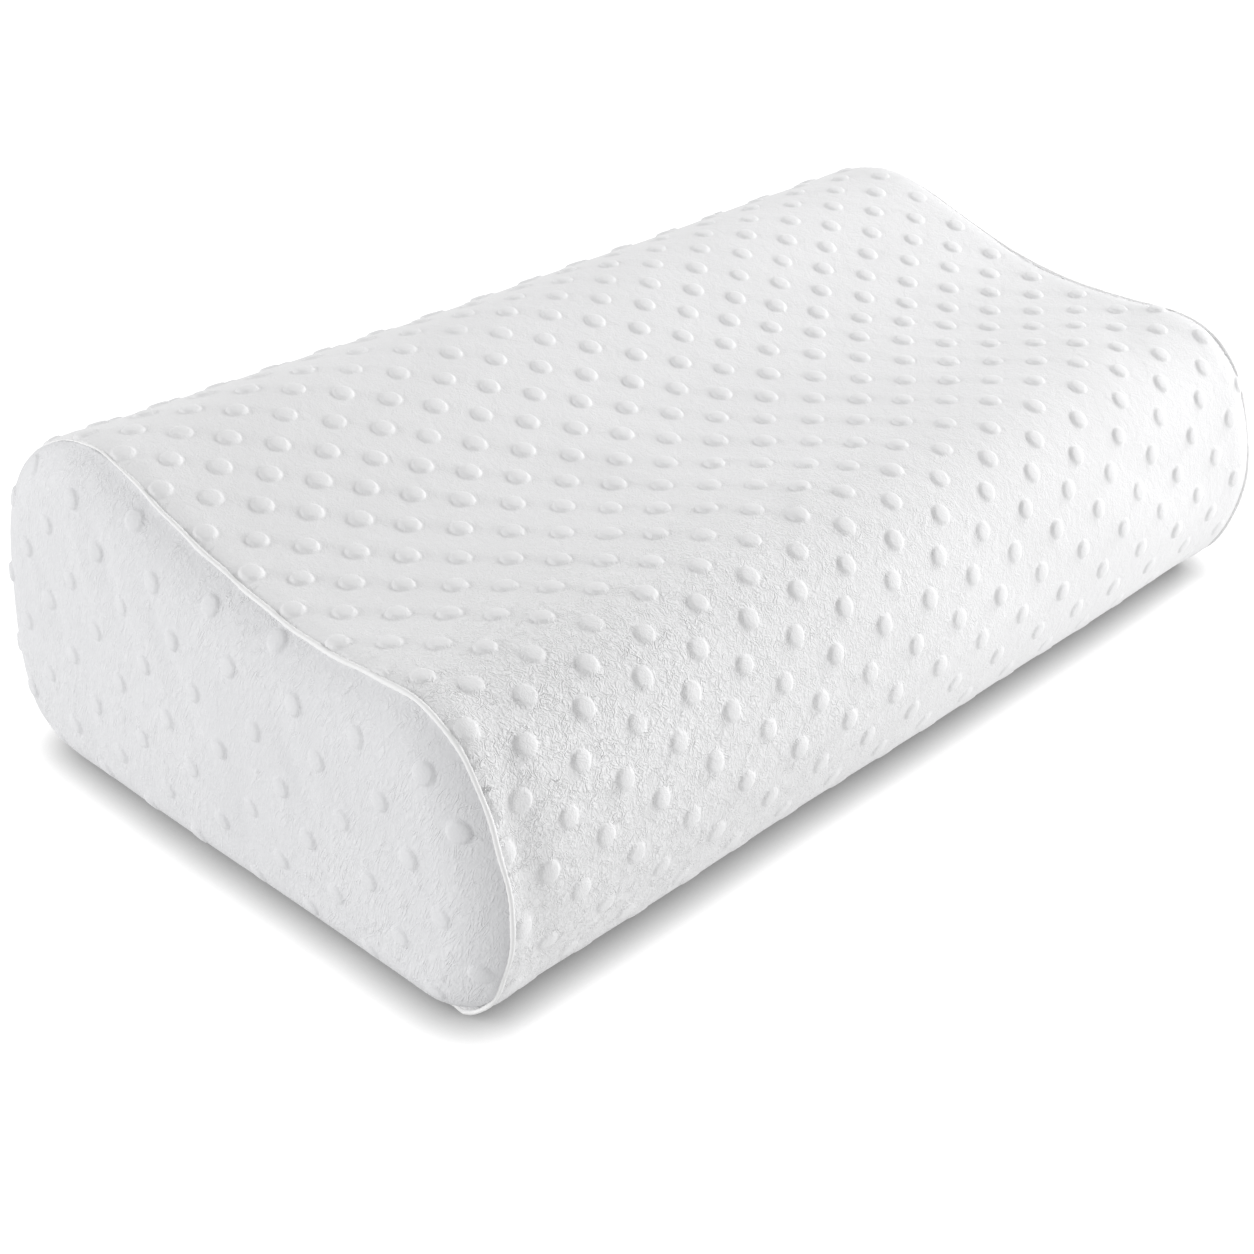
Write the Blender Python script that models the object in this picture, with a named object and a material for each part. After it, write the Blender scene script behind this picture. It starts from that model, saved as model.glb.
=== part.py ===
"""A contoured neck pillow: a wave-shaped foam body in a velour strip, closed by two sewn end panels.

Metres, +Z up. X runs along the pillow's length, -Y is the low neck roll, +Y the high head roll.
The origin is under the middle of the pillow, on the surface that it lies on.
"""

import math

import bmesh
import bpy
import numpy as np

LENGTH = 0.500
END_CROWN = 0.003
END_ROUND_LENGTH = 0.021
END_ROUND_INSET = 0.0226
SIDE_SWELL = 0.0008
TOP_DIP = 0.0012
FOOT_HEIGHT = 0.03

PANEL_THICKNESS = 0.0020
GAP = 0.0003
SEAM_ANGLE = math.radians(23.0)
RIDGE_RADIUS = 0.0013
RIDGE_SUNK = 0.0005

STEPS_PER_SPAN = 4
UNDERSIDE_STEPS = 6
BODY_RINGS = 7
SEAM_RINGS = 2
ROUND_RINGS = 4
CROWN_SCALES = (0.78, 0.52, 0.26)
END_CENTRE = (0.004, 0.064)
SHARP_ANGLE = math.radians(50.0)

# The wave section in millimetres, from the front foot over the top to the back foot.
# name, across (-Y is the front), height
WAVE = (
    ("front_foot", -110.0, 0.0),
    ("front_heel", -134.5, 13.0),
    ("front_low", -143.8, 31.0),
    ("front_bulge", -148.0, 55.5),
    ("front_high", -142.6, 83.5),
    ("front_shoulder", -132.4, 106.8),
    ("neck_roll_front", -114.2, 120.8),
    ("neck_roll_crest", -85.0, 123.8),
    ("neck_valley", -46.7, 124.4),
    ("slope_low", -5.8, 131.9),
    ("slope_high", 33.9, 145.8),
    ("head_roll_crest", 73.3, 155.5),
    ("head_roll_back", 111.6, 142.8),
    ("back_high", 136.8, 113.5),
    ("back_mid", 145.0, 73.5),
    ("back_bulge", 148.0, 38.1),
    ("back_heel", 140.8, 13.1),
    ("back_foot", 102.3, 0.0),
)

VELOUR = (0.86, 0.86, 0.85, 1.0)
END_VELOUR = (0.80, 0.81, 0.82, 1.0)
SEAM_VELOUR = (0.88, 0.88, 0.88, 1.0)


def clear_scene():
    for item in list(bpy.data.objects):
        bpy.data.objects.remove(item, do_unlink=True)


def fabric(name, colour):
    material = bpy.data.materials.new(name)
    material.use_nodes = True
    shader = material.node_tree.nodes["Principled BSDF"]
    shader.inputs["Base Color"].default_value = colour
    shader.inputs["Roughness"].default_value = 0.95
    shader.inputs["Metallic"].default_value = 0.0
    return material


def spline_slopes(knots, places):
    """Slopes of the smooth curve through the knots, level with the floor at both feet."""
    count = len(knots)
    widths = np.diff(places)
    rises = np.diff(knots, axis=0) / widths[:, None]
    system = np.eye(count)
    known = np.tile([-1.0, 0.0], (count, 1))
    for i in range(1, count - 1):
        before, after = widths[i - 1], widths[i]
        system[i, i - 1 : i + 2] = after, 2.0 * (before + after), before
        known[i] = 3.0 * (after * rises[i - 1] + before * rises[i])
    return np.linalg.solve(system, known)


def wave_section():
    """Points and outward normals of the closed section, from front foot to back foot, then underneath."""
    knots = np.array([row[1:] for row in WAVE]) / 1000.0
    places = np.concatenate([[0.0], np.cumsum(np.linalg.norm(np.diff(knots, axis=0), axis=1))])
    slopes = spline_slopes(knots, places)
    points, headings = [], []
    for i in range(len(knots) - 1):
        width = places[i + 1] - places[i]
        for step in range(STEPS_PER_SPAN):
            t = step / STEPS_PER_SPAN
            start, end = knots[i], knots[i + 1]
            pull_start, pull_end = slopes[i] * width, slopes[i + 1] * width
            points.append(
                (2 * t**3 - 3 * t**2 + 1) * start
                + (t**3 - 2 * t**2 + t) * pull_start
                + (3 * t**2 - 2 * t**3) * end
                + (t**3 - t**2) * pull_end
            )
            headings.append(
                (6 * t**2 - 6 * t) * (start - end)
                + (3 * t**2 - 4 * t + 1) * pull_start
                + (3 * t**2 - 2 * t) * pull_end
            )
    for step in range(UNDERSIDE_STEPS):
        points.append(knots[-1] + (knots[0] - knots[-1]) * step / UNDERSIDE_STEPS)
        headings.append(np.array([-1.0, 0.0]))
    headings = np.array(headings)
    headings /= np.linalg.norm(headings, axis=1)[:, None]
    normals = np.stack([-headings[:, 1], headings[:, 0]], axis=1)
    return np.array(points), normals


SECTION, NORMALS = wave_section()
FLAT_HALF = LENGTH / 2.0 - END_CROWN


def round_ring(angle, depth):
    """A ring on the rounded end, which runs from angle 0 at the strip to 90 degrees at the end face."""
    inset = END_ROUND_INSET * (1.0 - math.cos(angle)) + depth * math.cos(angle)
    reach = FLAT_HALF - END_ROUND_LENGTH * (1.0 - math.sin(angle)) - depth * math.sin(angle)
    return reach, SECTION - NORMALS * inset


def face_ring(scale, depth):
    """A ring on the crowned end face, shrunk towards its middle."""
    _, rim = round_ring(math.pi / 2.0, 0.0)
    centre = np.array(END_CENTRE)
    reach = FLAT_HALF + END_CROWN * (1.0 - scale**2) - depth
    return reach, centre + (rim - centre) * scale


def middle_ring(share):
    """A ring from the middle, share 0, to the start of the rounded end, share 1.

    Towards the middle the front and back swell a little and the top dips a little. The feet stay put.
    """
    reach = share * (FLAT_HALF - END_ROUND_LENGTH)
    swell = SIDE_SWELL * np.abs(NORMALS[:, :1]) - TOP_DIP * np.clip(NORMALS[:, 1:], 0.0, 1.0)
    above_foot = np.clip(SECTION[:, 1:] / FOOT_HEIGHT, 0.0, 1.0)
    return reach, SECTION + NORMALS * swell * above_foot * (1.0 - share**2)


def end_rings(first_angle, depth, count):
    """Rings from an angle on the rounded end to the end face, and over its crown."""
    angles = np.linspace(first_angle, math.pi / 2.0, count)
    rings = [round_ring(angle, depth) for angle in angles]
    rings += [face_ring(scale, depth) for scale in CROWN_SCALES]
    return rings


def end_tip(depth):
    """How far out the middle of the crowned end face lies."""
    return face_ring(0.0, depth)[0]


def loft(name, rings, tips, side, material, collection):
    """Joins rings of equal count into one skin. A fan to a tip closes the first ring and the last."""
    mesh = bmesh.new()
    rows = []
    for reach, ring in rings:
        rows.append([mesh.verts.new((side * reach, y, z)) for y, z in ring])
    for near, far in zip(rows[:-1], rows[1:]):
        for i in range(len(near)):
            j = (i + 1) % len(near)
            mesh.faces.new((near[i], near[j], far[j], far[i]))
    for row, reach in ((rows[0], tips[0]), (rows[-1], tips[1])):
        tip = mesh.verts.new((side * reach, *END_CENTRE))
        for i in range(len(row)):
            mesh.faces.new((row[i], row[(i + 1) % len(row)], tip))
    bmesh.ops.recalc_face_normals(mesh, faces=mesh.faces)
    return finish_mesh(name, mesh, material, collection)


def finish_mesh(name, mesh, material, collection):
    data = bpy.data.meshes.new(name)
    mesh.to_mesh(data)
    mesh.free()
    data.materials.append(material)
    data.shade_smooth()
    data.set_sharp_from_angle(angle=SHARP_ANGLE)
    item = bpy.data.objects.new(name, data)
    collection.objects.link(item)
    return item


def pillow_body(material, collection):
    """The filled strip, sunk at each end by one cloth thickness and a gap, where the end panel sits."""
    outer_angles = np.linspace(0.0, SEAM_ANGLE, SEAM_RINGS + 1)
    half = [middle_ring(share) for share in np.linspace(0.0, 1.0, BODY_RINGS + 1)]
    half += [round_ring(angle, 0.0) for angle in outer_angles[1:]]
    sunk = PANEL_THICKNESS + GAP
    half += end_rings(SEAM_ANGLE, sunk, ROUND_RINGS + 1)
    left = [(-reach, ring) for reach, ring in reversed(half[1:])]
    tips = (-end_tip(sunk), end_tip(sunk))
    return loft("pillow_body", left + half, tips, 1.0, material, collection)


def seam_slot_angle():
    """The angle that the seam ridge and its two gaps take up on the rounded end."""
    mean_radius = (END_ROUND_LENGTH + END_ROUND_INSET) / 2.0
    return 2.0 * (RIDGE_RADIUS + GAP) / mean_radius


def end_panel(name, side, material, collection):
    """A wave-shaped panel of cloth, crowned, with its rim turned over the rounded end."""
    rim_angle = SEAM_ANGLE + seam_slot_angle()
    outer = end_rings(rim_angle, 0.0, ROUND_RINGS)
    inner = end_rings(rim_angle, PANEL_THICKNESS, ROUND_RINGS)
    tips = (end_tip(PANEL_THICKNESS), end_tip(0.0))
    return loft(name, list(reversed(inner)) + outer, tips, side, material, collection)


def seam_ridge(name, side, material, collection):
    """The rolled edge of the sewn seam: a thin cord of cloth in the slot between strip and panel."""
    reach, ring = round_ring(SEAM_ANGLE + seam_slot_angle() / 2.0, RIDGE_SUNK)
    curve = bpy.data.curves.new(name, "CURVE")
    curve.dimensions = "3D"
    curve.bevel_depth = RIDGE_RADIUS
    curve.bevel_resolution = 1
    spline = curve.splines.new("POLY")
    spline.points.add(len(ring) - 1)
    for point, (y, z) in zip(spline.points, ring):
        point.co = (side * reach, y, z, 1.0)
    spline.use_cyclic_u = True
    curve.materials.append(material)
    item = bpy.data.objects.new(name, curve)
    collection.objects.link(item)
    return item


def main():
    clear_scene()
    collection = bpy.data.collections.new("cervical_pillow")
    bpy.context.scene.collection.children.link(collection)
    pillow_body(fabric("velour_wrap", VELOUR), collection)
    end_cloth = fabric("velour_end", END_VELOUR)
    ridge_cloth = fabric("velour_seam", SEAM_VELOUR)
    for word, side in (("near", -1.0), ("far", 1.0)):
        end_panel(f"end_panel_{word}", side, end_cloth, collection)
        seam_ridge(f"seam_ridge_{word}", side, ridge_cloth, collection)


main()
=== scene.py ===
"""Looks of the contoured neck pillow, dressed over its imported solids.

The cover is white velour with raised dots: one strip round the wave, an end panel at each end, and the
rolled seam between them. A coarse copy of the cover is inflated by a cloth simulation, and the fine cloth
takes a share of its swell. Metres, +Z up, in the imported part's frame: the near end is at -X, the neck roll
at -Y.
"""

import math

import bmesh
import bpy
import numpy as np
from mathutils import Matrix, Vector
from mathutils.geometry import delaunay_2d_cdt


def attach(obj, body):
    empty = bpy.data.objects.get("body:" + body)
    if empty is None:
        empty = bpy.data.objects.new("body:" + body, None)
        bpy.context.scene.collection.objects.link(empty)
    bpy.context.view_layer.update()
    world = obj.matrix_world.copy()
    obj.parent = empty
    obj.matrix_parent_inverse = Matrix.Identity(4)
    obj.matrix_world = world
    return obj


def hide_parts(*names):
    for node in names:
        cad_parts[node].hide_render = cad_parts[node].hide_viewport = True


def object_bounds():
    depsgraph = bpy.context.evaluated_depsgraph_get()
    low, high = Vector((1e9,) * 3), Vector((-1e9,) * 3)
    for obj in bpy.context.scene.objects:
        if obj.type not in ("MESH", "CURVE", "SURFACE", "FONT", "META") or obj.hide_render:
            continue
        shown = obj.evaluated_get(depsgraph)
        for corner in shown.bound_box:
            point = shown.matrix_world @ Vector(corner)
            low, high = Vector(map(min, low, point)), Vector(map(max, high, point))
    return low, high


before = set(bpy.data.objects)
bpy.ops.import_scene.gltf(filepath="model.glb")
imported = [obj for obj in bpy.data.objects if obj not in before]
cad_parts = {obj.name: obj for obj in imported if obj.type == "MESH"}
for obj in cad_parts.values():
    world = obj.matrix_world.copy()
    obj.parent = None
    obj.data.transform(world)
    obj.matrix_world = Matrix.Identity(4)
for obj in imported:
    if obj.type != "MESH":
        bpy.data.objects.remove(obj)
cad_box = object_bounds()

# The camera, as fitted to the photograph's outline
CAMERA_PLACE = Vector((-0.5847, -0.5356, 0.4628))
CAMERA_AZIMUTH = math.radians(-46.0)
CAMERA_ELEVATION = math.radians(29.665)
LENS_MM = 57.97
SENSOR_MM = 36.0

# The pillow's shell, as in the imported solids
HALF_LENGTH = cad_box[1].x
END_CROWN = 0.003
END_ROUND_LENGTH = 0.021
END_ROUND_INSET = 0.0226
FLAT_HALF = HALF_LENGTH - END_CROWN
ROUND_START = FLAT_HALF - END_ROUND_LENGTH
ROUND_RADIUS = (END_ROUND_LENGTH + END_ROUND_INSET) / 2.0
SIDE_SWELL = 0.0008
TOP_DIP = 0.0012
FOOT_HEIGHT = 0.03
SECTION_CENTRE = np.array((0.004, 0.064))
SEAM_TURN = math.radians(26.5)
SEAM_RUN = ROUND_START + ROUND_RADIUS * SEAM_TURN
SEAM_REACH = FLAT_HALF - END_ROUND_LENGTH * (1.0 - math.sin(SEAM_TURN))

# The raised dots and the rows that they stand in
DOT_RADIUS = 0.0044
DOT_HEIGHT = 0.0012
DOT_PITCH = 0.02947
ROW_COUNT = 56
ROW_START = 0.1024
DOT_START = -0.1687
RING_SHARES = (0.60, 0.82, 0.95, 1.06, 1.20)
PLAIN_RING_SHARES = (1.06,)
LONG_STEPS = 6
SHORT_STEPS = 4

# How far the ground of the cover stands off the floor where the dots are pressed flat
PRESSED_LIFT = 0.0008


def uneven(waves, circle, along):
    """A sum of waves, each given as size, turns round the section, rate along the length and start."""
    return sum(size * np.sin(turns * circle + rate * along + start) for size, turns, rate, start in waves)


def smooth_step(low, high, value):
    share = np.clip((value - low) / (high - low), 0.0, 1.0)
    return share * share * (3.0 - 2.0 * share)


def bell(distance, width):
    return np.exp(-((distance / width) ** 2))


# The wave section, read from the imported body

KNOT_STEPS = 40
UNDERSIDE_STEPS = 400


def ring_knots():
    """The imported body's ring where the rounded end starts, from the front foot over the top to the back."""
    points = np.array([v.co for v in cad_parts["pillow_body"].data.vertices])
    ring = points[np.abs(points[:, 0] - ROUND_START) < 2e-4][:, 1:]
    ring = np.unique(np.round(ring, 6), axis=0)
    on_floor = ring[:, 1] < 1e-5
    front_foot, back_foot = ring[on_floor, 0].min(), ring[on_floor, 0].max()
    inside = on_floor & (ring[:, 0] > front_foot + 1e-5) & (ring[:, 0] < back_foot - 1e-5)
    ring = ring[~inside]
    arm = ring - SECTION_CENTRE
    angle = np.arctan2(-arm[:, 0], -arm[:, 1]) % math.tau
    ring = ring[np.argsort(angle)]
    ring[[0, -1], 1] = 0.0
    return ring


def knot_slopes(knots, places):
    """Slopes of the smooth curve through the knots, level with the floor at both feet."""
    count = len(knots)
    widths = np.diff(places)
    rises = np.diff(knots, axis=0) / widths[:, None]
    system = np.eye(count)
    known = np.tile([-1.0, 0.0], (count, 1))
    for i in range(1, count - 1):
        before, after = widths[i - 1], widths[i]
        system[i, i - 1 : i + 2] = after, 2.0 * (before + after), before
        known[i] = 3.0 * (after * rises[i - 1] + before * rises[i])
    return np.linalg.solve(system, known)


class Wave:
    """The closed section by arc length: from the front foot over the top to the back, then underneath."""

    def __init__(self):
        knots = ring_knots()
        places = np.concatenate([[0.0], np.cumsum(np.linalg.norm(np.diff(knots, axis=0), axis=1))])
        slopes = knot_slopes(knots, places)
        points, headings = [], []
        t = np.arange(KNOT_STEPS)[:, None] / KNOT_STEPS
        for i in range(len(knots) - 1):
            width = places[i + 1] - places[i]
            start, end = knots[i], knots[i + 1]
            pull_start, pull_end = slopes[i] * width, slopes[i + 1] * width
            spot = (2 * t**3 - 3 * t**2 + 1) * start + (3 * t**2 - 2 * t**3) * end
            spot = spot + (t**3 - 2 * t**2 + t) * pull_start + (t**3 - t**2) * pull_end
            heading = (6 * t**2 - 6 * t) * (start - end)
            heading = heading + (3 * t**2 - 4 * t + 1) * pull_start + (3 * t**2 - 2 * t) * pull_end
            points.append(spot)
            headings.append(heading)
        share = np.arange(UNDERSIDE_STEPS + 1)[:, None] / UNDERSIDE_STEPS
        points.append(knots[-1] + (knots[0] - knots[-1]) * share)
        headings.append(np.tile([-1.0, 0.0], (UNDERSIDE_STEPS + 1, 1)))
        points = np.concatenate(points)
        headings = np.concatenate(headings)
        headings /= np.linalg.norm(headings, axis=1)[:, None]
        self.arc = np.concatenate([[0.0], np.cumsum(np.linalg.norm(np.diff(points, axis=0), axis=1))])
        self.points = points
        self.normals = np.stack([-headings[:, 1], headings[:, 0]], axis=1)
        self.length = self.arc[-1]

    def at(self, around):
        """Points and outward normals of the section at these arc lengths."""
        place = np.mod(around, self.length)
        spot = np.stack([np.interp(place, self.arc, self.points[:, k]) for k in (0, 1)], axis=-1)
        normal = np.stack([np.interp(place, self.arc, self.normals[:, k]) for k in (0, 1)], axis=-1)
        return spot, normal / np.linalg.norm(normal, axis=-1)[..., None]


WAVE = Wave()
ROW_HEIGHT = WAVE.length / ROW_COUNT


# The shell: where the cover lies before its dots, swell and creases

def shell_ring(turn, around):
    """A ring on the rounded end: reach from the middle, section points, and the section's normals."""
    spot, normal = WAVE.at(around)
    inset = END_ROUND_INSET * (1.0 - np.cos(turn))
    reach = FLAT_HALF - END_ROUND_LENGTH * (1.0 - np.sin(turn))
    return reach, spot - normal * np.asarray(inset)[..., None], normal


def strip_points(along, around, lift):
    """Points of the strip: along is the cloth's run from the middle, around is the section's arc length."""
    spot, normal = WAVE.at(around)
    run = np.abs(along)
    turn = np.clip((run - ROUND_START) / ROUND_RADIUS, 0.0, math.pi / 2.0)
    share = np.clip(run / ROUND_START, 0.0, 1.0)
    swell = SIDE_SWELL * np.abs(normal[:, 0]) - TOP_DIP * np.clip(normal[:, 1], 0.0, 1.0)
    swell = swell * np.clip(spot[:, 1] / FOOT_HEIGHT, 0.0, 1.0) * (1.0 - share**2)
    inset = END_ROUND_INSET * (1.0 - np.cos(turn))
    section = spot + normal * (swell - inset + lift * np.cos(turn))[:, None]
    reach = np.minimum(run, ROUND_START) + END_ROUND_LENGTH * np.sin(turn) + lift * np.sin(turn)
    return np.column_stack([np.sign(along) * reach, section])


def pressed_share(around):
    """1 on the underside, where the pillow's weight presses the dots flat, and 0 from the heels upwards."""
    spot, normal = WAVE.at(around)
    return smooth_step(0.90, 0.999, -normal[:, 1])


# The dots stand fuller in the valley, and lower down the back and towards the heels
VALLEY_DOTS_AT = 0.225
VALLEY_DOTS_WIDTH = 0.055
VALLEY_DOTS_GAIN = 0.30
BACK_DOTS_FROM = 0.385
BACK_DOTS_FULL = 0.43
BACK_DOTS_LOSS = 0.30
HEEL_DOTS_LOSS = 0.70


def dot_fullness(around):
    """How full the dots stand at these arc lengths."""
    _, normal = WAVE.at(around)
    down = smooth_step(0.05, 0.60, -normal[:, 1])
    place = np.mod(around, WAVE.length)
    back = smooth_step(BACK_DOTS_FROM, BACK_DOTS_FULL, place)
    valley = bell(place - VALLEY_DOTS_AT, VALLEY_DOTS_WIDTH)
    fullness = (1.0 + VALLEY_DOTS_GAIN * valley) * (1.0 - HEEL_DOTS_LOSS * down)
    return fullness * (1.0 - BACK_DOTS_LOSS * back)


# Where the dots' rows run: a few smooth waves keep the rows as uneven as the photograph shows

ROW_WAVE = 0.0144
ROW_WAVE_PLACE = 0.3003
ROW_TILT = -0.0188
ROW_BOW = -0.147
PITCH_GROWTH = 0.197
VALLEY_SHIFT = -0.0124
VALLEY_PLACE = 0.149
VALLEY_WIDTH = 0.0356
ALONG_WAVES = ((0.0009, 3, 21.0, 0.6), (0.0006, 9, -33.0, 0.0))
AROUND_WAVES = ((0.0007, 5, 27.0, 1.9), (0.0005, 11, 52.0, 0.0))


def lay_cloth(flat_x, flat_y):
    """Takes places on the regular pattern to places on the strip."""
    angle = math.tau * (flat_y - ROW_WAVE_PLACE) / WAVE.length
    around = flat_y + ROW_TILT * flat_x + ROW_BOW * flat_x**2 - ROW_WAVE * np.sin(angle)
    quarter = WAVE.length / 4.0
    valley = bell((around + quarter) % WAVE.length - quarter - VALLEY_PLACE, VALLEY_WIDTH)
    along = flat_x + PITCH_GROWTH * flat_x**2 + VALLEY_SHIFT * valley
    circle = math.tau * around / WAVE.length
    return along + uneven(ALONG_WAVES, circle, flat_x), around + uneven(AROUND_WAVES, circle, flat_x)


def lay_one(flat_x, flat_y):
    along, around = lay_cloth(np.array([flat_x]), np.array([flat_y]))
    return float(along[0]), float(around[0])


def dot_profile(share):
    """Height of a raised dot at a share of its radius: a flattened dome with a steep rim."""
    return (1.0 - 0.28 * share**2) * (1.0 - smooth_step(0.74, 1.06, share))


SIZE_SPREAD = 0.09
HEIGHT_SPREAD = 0.34


def dot_character(i, j):
    """How big and how high one dot is against the others, the same in every run."""
    seed = math.sin(12.9898 * i + 78.233 * j) * 43758.5453
    other = math.sin(39.346 * i + 11.135 * j) * 24634.6345
    size = 1.0 + SIZE_SPREAD * ((seed - math.floor(seed)) - 0.5)
    height = 1.0 + HEIGHT_SPREAD * ((other - math.floor(other)) - 0.5)
    return size, height


# Small unevenness of the filled cover

# name, along, around, heading in degrees from the length, half length, half width, height (below 0: a trough)
CREASES = (
    ("ridge_on_neck_roll", -0.037, 0.166, 38.5, 0.027, 0.0050, 0.0005),
    ("hollow_beside_ridge", -0.043, 0.173, 38.5, 0.024, 0.0060, -0.0004),
    ("valley_fold_left", -0.084, 0.240, 148.0, 0.026, 0.0050, -0.0005),
    ("valley_fold_mid", -0.066, 0.232, 152.0, 0.024, 0.0045, 0.0005),
    ("valley_fold_right", -0.040, 0.222, 146.0, 0.024, 0.0050, -0.0004),
    ("hollow_beside_seam", -0.2280, 0.094, 90.0, 0.040, 0.0075, -0.0030),
    ("shoulder_pull", -0.2120, 0.142, 150.0, 0.018, 0.0060, -0.0007),
    ("front_soft_fold", 0.060, 0.070, 12.0, 0.055, 0.0110, -0.0007),
    ("front_far_fold", 0.165, 0.095, 160.0, 0.040, 0.0110, -0.0008),
    ("roll_far_fold", 0.195, 0.170, 35.0, 0.030, 0.0100, -0.0009),
    ("slope_fold", 0.110, 0.262, 165.0, 0.050, 0.0080, -0.0008),
    ("crest_fold", -0.120, 0.318, 8.0, 0.050, 0.0070, -0.0007),
    ("back_fold_far", 0.150, 0.430, 70.0, 0.040, 0.0065, -0.0012),
    ("back_fold_mid", -0.015, 0.455, 100.0, 0.045, 0.0070, -0.0011),
    ("back_fold_near", -0.160, 0.440, 55.0, 0.040, 0.0060, -0.0012),
    ("back_heel_fold", 0.060, 0.520, 10.0, 0.060, 0.0070, -0.0010),
)


def crease_lift(along, around):
    total = np.zeros_like(along)
    for _, x, s, heading, half_length, half_width, height in CREASES:
        turn = math.radians(heading)
        run_x = along - x
        run_s = (around - s + WAVE.length / 2.0) % WAVE.length - WAVE.length / 2.0
        lengthwise = run_x * math.cos(turn) + run_s * math.sin(turn)
        across = run_s * math.cos(turn) - run_x * math.sin(turn) + 0.12 * lengthwise**2 / half_length
        total += height * bell(lengthwise, half_length) * bell(across, half_width)
    return total


FOAM_HEIGHT = 0.00055
FOAM_WAVES = ((0.45, 4, 14.0, 0.4), (0.35, 7, -23.0, 2.2), (0.30, 2, 37.0, 1.1), (0.20, 13, 48.0, 5.0))


def soft_lift(along, around):
    """Slow hollows and swellings of the foam under the cover."""
    return FOAM_HEIGHT * uneven(FOAM_WAVES, math.tau * around / WAVE.length, along)


# The cloth simulation of a coarse copy of the cover

COARSE_COLUMNS = 84
COARSE_AROUND = 150
COARSE_TURNS = 5
COARSE_SCALES = 12
START_INSET = 0.0016
SWELL_LIMIT = 0.0030
# The moulded foam holds its wave, so only a share of the empty cover's swell is left
SWELL_SHARE = 0.25
PRESSURE = 4.0
STIFFNESS = 25.0
BENDING = 0.8
QUALITY = 5
LAST_FRAME = 20
FREE_FROM_SEAM = 0.03
SWELL_BLUR = 0.0045


def face_ring(scale, around):
    """A ring on the crowned end face, shrunk towards its middle."""
    _, rim, _ = shell_ring(math.pi / 2.0, around)
    return FLAT_HALF + END_CROWN * (1.0 - scale**2), SECTION_CENTRE + (rim - SECTION_CENTRE) * scale


def coarse_rings(around):
    """The coarse cover's rings from the near tip to the far tip: points, outward normals, held share."""
    _, normal = WAVE.at(around)
    level = np.zeros((len(around), 1))
    half = []
    for scale in np.arange(1, COARSE_SCALES) / COARSE_SCALES:
        reach, ring = face_ring(scale, around)
        points = np.hstack([level + reach, ring])
        half.append((points, np.hstack([level + 1.0, np.zeros_like(normal)]), 0.0))
    for turn in np.linspace(math.pi / 2.0, SEAM_TURN, COARSE_TURNS):
        reach, ring, _ = shell_ring(turn, around)
        normals = np.hstack([level + math.sin(turn), normal * math.cos(turn)])
        half.append((np.hstack([level + reach, ring]), normals, 1.0 if turn == SEAM_TURN else 0.0))
    rings = [(p * (-1, 1, 1), n * (-1, 1, 1), held) for p, n, held in half]
    for along in np.linspace(-SEAM_RUN, SEAM_RUN, COARSE_COLUMNS + 1)[1:-1]:
        points = strip_points(np.full(len(around), along), around, 0.0)
        turn = max(0.0, (abs(along) - ROUND_START) / ROUND_RADIUS)
        side = math.copysign(math.sin(turn), along)
        rings.append((points, np.hstack([level + side, normal * math.cos(turn)]), 0.0))
    rings += half[::-1]
    return rings


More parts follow.
